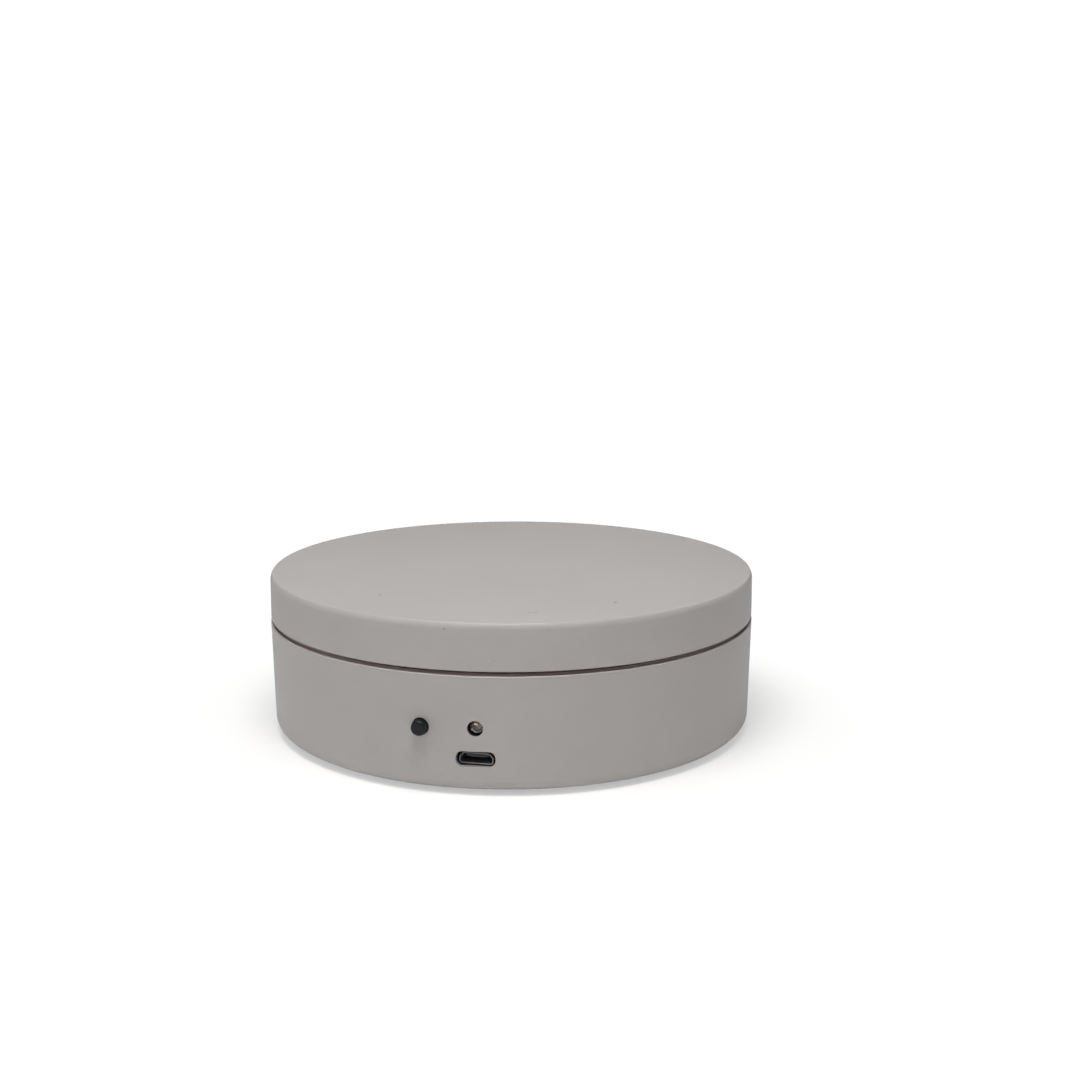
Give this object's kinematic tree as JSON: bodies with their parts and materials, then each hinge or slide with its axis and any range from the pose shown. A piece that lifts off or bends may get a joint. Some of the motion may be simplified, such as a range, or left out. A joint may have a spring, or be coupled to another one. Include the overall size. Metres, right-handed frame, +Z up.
{
  "type": "turntable display stand",
  "caption": "Motorised round turntable display stand: flat platter on a tapered base, with a push button, an indicator light and a charging inlet in its side.",
  "frame": {"origin": "spindle axis, on the surface that the feet rest on", "axes": "+Z up along the spindle axis; -Y points out of the side with the button, the light and the inlet; +X to the right when that side is faced"},
  "size_m": [0.1204, 0.1218, 0.0393],
  "materials": {
    "shell_plastic": "fine-textured injection-moulded plastic, light warm grey, satin",
    "button_black": "smooth black moulded plastic, soft shine",
    "foot_rubber": "dark grey rubber, matt",
    "gear_white": "natural white gear plastic, slightly waxy",
    "cage_natural": "natural nylon",
    "zinc_steel": "zinc-plated steel",
    "bright_steel": "ground bright steel",
    "spring_steel": "spring steel",
    "plated_steel": "nickel-plated pressed steel",
    "brass": "turned brass",
    "copper_wire": "enamelled copper winding",
    "ferrite": "dark sintered ferrite",
    "blue_plastic": "blue moulded plastic",
    "lead_insulation": "soft lead insulation",
    "connector_white": "natural nylon connector",
    "board_green": "green solder mask over glass-epoxy board",
    "chip_black": "black moulded compound",
    "tinned": "bright tin plate",
    "ceramic_tan": "ceramic bodies with tinned ends",
    "gold_contact": "gold-flashed contacts",
    "clear_epoxy": "clear cast epoxy lens",
    "cell_wrap": "shrink-wrapped cell",
    "foam_grey": "closed-cell foam pad"
  },
  "bodies": {
    "base": {"base_housing": "shell_plastic", "battery_cell": "cell_wrap", "battery_leads": "lead_insulation", "battery_pad": "foam_grey", "battery_plug": "connector_white", "battery_tabs": "tinned", "bottom_cover": "shell_plastic", "cell_cradle": "shell_plastic", "chip_pins": "tinned", "coil_bobbins": "cage_natural", "coils": "copper_wire", "controller_chip": "chip_black", "cover_screws": "zinc_steel", "driver_chip": "chip_black", "gear_base_plate": "plated_steel", "gear_pins": "bright_steel", "inner_screws": "zinc_steel", "led_holder": "chip_black", "led_leads": "tinned", "led_lens": "clear_epoxy", "main_pcb": "board_green", "motor_can": "plated_steel", "motor_face_plate": "plated_steel", "motor_leads": "lead_insulation", "motor_plug": "connector_white", "motor_wire_cover": "blue_plastic", "output_bush": "brass", "rotor_bush": "brass", "rubber_feet": "foot_rubber", "small_components": "ceramic_tan", "spindle_bush": "brass", "spindle_cap": "shell_plastic", "stator_plates": "plated_steel", "switch_body": "chip_black", "switch_cover": "tinned", "switch_dome": "spring_steel", "switch_terminals": "tinned", "usb_contacts": "gold_contact", "usb_shell": "tinned", "usb_tongue": "chip_black", "wire_headers": "connector_white"},
    "platter": {"platter_shell": "shell_plastic", "platter_drive_gear": "gear_white", "gear_screws": "zinc_steel", "spindle": "bright_steel", "retaining_clip": "spring_steel", "thrust_washer": "gear_white"},
    "balls": {"ball_cage": "cage_natural", "bearing_balls": "bright_steel"},
    "motor_output": {"output_gear": "bright_steel", "output_shaft": "bright_steel", "drive_pinion": "gear_white"},
    "third_gear": {"gear_3": "gear_white"},
    "second_gear": {"gear_2": "gear_white"},
    "first_gear": {"gear_1": "gear_white"},
    "rotor": {"rotor_magnet": "ferrite", "rotor_hub": "gear_white", "rotor_shaft": "bright_steel", "rotor_pinion": "brass"},
    "button": {"button_plunger": "button_black"}
  },
  "joints": [
    {"name": "platter_spin", "type": "hinge", "parent": "base", "child": "platter", "pos_m": [0, 0, 0], "axis": [0, 0, 1], "continuous": true},
    {"name": "ball_cage_spin", "type": "hinge", "parent": "base", "child": "balls", "pos_m": [0, 0, 0], "axis": [0, 0, 1], "continuous": true},
    {"name": "motor_output_spin", "type": "hinge", "parent": "base", "child": "motor_output", "pos_m": [0.0288, 0, 0], "axis": [0, 0, 1], "continuous": true},
    {"name": "third_gear_spin", "type": "hinge", "parent": "base", "child": "third_gear", "pos_m": [0.03495, 0.00008, 0], "axis": [0, 0, 1], "continuous": true},
    {"name": "second_gear_spin", "type": "hinge", "parent": "base", "child": "second_gear", "pos_m": [0.03492, 0.00533, 0], "axis": [0, 0, 1], "continuous": true},
    {"name": "first_gear_spin", "type": "hinge", "parent": "base", "child": "first_gear", "pos_m": [0.03988, 0.00533, 0], "axis": [0, 0, 1], "continuous": true},
    {"name": "rotor_spin", "type": "hinge", "parent": "base", "child": "rotor", "pos_m": [0.0368, 0, 0], "axis": [0, 0, 1], "continuous": true},
    {"name": "button_press", "type": "slide", "parent": "base", "child": "button", "axis": [0, 1, 0], "range_m": [0, 0.00025], "stiffness_N_per_m": 2000, "springref_m": -0.0005}
  ],
  "couplings": [
    {"joint": "ball_cage_spin", "follows": "platter_spin", "ratio": 0.5},
    {"joint": "motor_output_spin", "follows": "platter_spin", "ratio": -5},
    {"joint": "third_gear_spin", "follows": "platter_spin", "ratio": 15.5},
    {"joint": "second_gear_spin", "follows": "platter_spin", "ratio": -44.778},
    {"joint": "first_gear_spin", "follows": "platter_spin", "ratio": 89.556},
    {"joint": "rotor_spin", "follows": "platter_spin", "ratio": -318.42}
  ]
}
